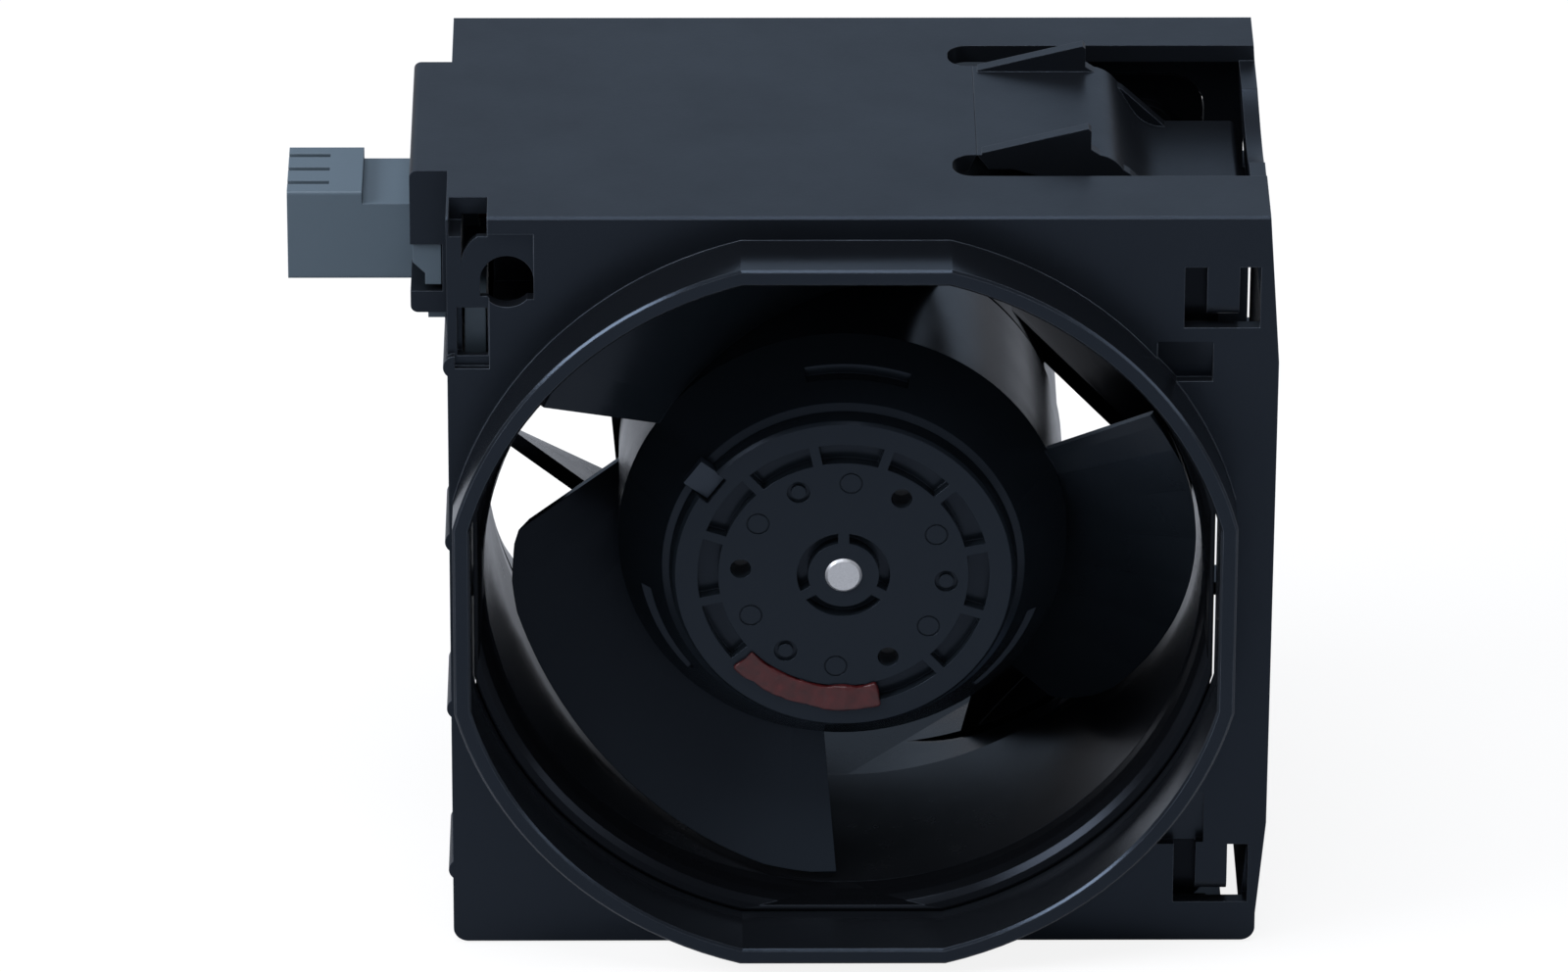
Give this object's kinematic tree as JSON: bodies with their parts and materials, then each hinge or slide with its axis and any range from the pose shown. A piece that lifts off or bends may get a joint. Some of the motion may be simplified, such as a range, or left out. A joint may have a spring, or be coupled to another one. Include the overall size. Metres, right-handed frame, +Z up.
{
  "type": "server fan module",
  "caption": "Hot-swap server fan module: square black carrier with a round inlet collar, sprung release latch, side plug and a three-blade axial fan.",
  "frame": {"origin": "on the base, under the fan axis, at half the depth of the carrier", "axes": "+Z up to the latch side, +X to the latch's finger end, -X to the plug, -Y to the inlet collar, +Y the way the air leaves"},
  "size_m": [0.0801, 0.0444, 0.0685],
  "materials": {
    "carrier_black": "black glass-filled nylon, fine eroded texture",
    "fan_black": "black PBT, semi-matte",
    "pad_rubber": "dark elastomer",
    "plug_grey": "light grey nylon",
    "shaft_steel": "ground steel",
    "bearing_steel": "polished bearing steel",
    "brass": "turned brass",
    "yoke_steel": "drawn and zinc plated steel",
    "magnet": "bonded ferrite",
    "lamination": "stacked electrical steel",
    "bobbin": "natural nylon",
    "copper": "enamelled copper wire",
    "board": "green glass-epoxy board",
    "chip": "black epoxy",
    "capacitor": "aluminium can",
    "label": "bare film label",
    "putty": "dark red balancing lacquer",
    "tab_grey": "grey balance tab",
    "contact_tin": "tin plated bronze",
    "wire_red": "red insulation",
    "wire_black": "black insulation",
    "wire_yellow": "yellow insulation",
    "wire_blue": "blue insulation"
  },
  "bodies": {
    "carrier": {"carrier_shell": "carrier_black", "corner_pad_1": "pad_rubber", "corner_pad_2": "pad_rubber", "corner_pad_3": "pad_rubber", "fan_frame": "fan_black", "bearing_sleeve": "brass", "front_outer_race": "bearing_steel", "rear_outer_race": "bearing_steel", "stator_core": "lamination", "front_insulator": "bobbin", "rear_insulator": "bobbin", "coil_1": "copper", "coil_2": "copper", "coil_3": "copper", "coil_4": "copper", "coil_5": "copper", "coil_6": "copper", "winding_pins": "contact_tin", "circuit_board": "board", "driver_chip": "chip", "hall_sensor": "chip", "capacitor_1": "capacitor", "capacitor_2": "capacitor", "motor_label": "label", "plug_housing": "plug_grey", "plug_keeper": "plug_grey", "plug_contacts": "contact_tin", "lead_red": "wire_red", "lead_black": "wire_black", "lead_yellow": "wire_yellow", "lead_blue": "wire_blue"},
    "rotor": {"impeller": "fan_black", "shaft": "shaft_steel", "shaft_bush": "brass", "rotor_yoke": "yoke_steel", "magnet_ring": "magnet", "balance_tab": "tab_grey", "balance_putty": "putty", "front_inner_race": "bearing_steel", "rear_inner_race": "bearing_steel", "preload_spring": "shaft_steel", "thrust_washer": "shaft_steel", "retaining_clip": "shaft_steel"},
    "front_ball_set": {"front_balls": "bearing_steel", "front_cage": "bobbin"},
    "rear_ball_set": {"rear_balls": "bearing_steel", "rear_cage": "bobbin"},
    "latch": {"release_latch": "carrier_black"}
  },
  "joints": [
    {"name": "impeller_spin", "type": "hinge", "parent": "carrier", "child": "rotor", "pos_m": [0, 0, 0.0325], "axis": [0, 1, 0], "continuous": true},
    {"name": "front_balls_spin", "type": "hinge", "parent": "carrier", "child": "front_ball_set", "pos_m": [0, 0, 0.0325], "axis": [0, 1, 0], "continuous": true},
    {"name": "rear_balls_spin", "type": "hinge", "parent": "carrier", "child": "rear_ball_set", "pos_m": [0, 0, 0.0325], "axis": [0, 1, 0], "continuous": true},
    {"name": "latch_flex", "type": "hinge", "parent": "carrier", "child": "latch", "pos_m": [0.0107, 0.00105, 0.0662], "axis": [0, 1, 0], "range_deg": [0, 9], "stiffness_Nm_per_rad": 1.3}
  ],
  "couplings": [
    {"joint": "front_balls_spin", "follows": "impeller_spin", "ratio": 0.3636},
    {"joint": "rear_balls_spin", "follows": "impeller_spin", "ratio": 0.3636}
  ]
}
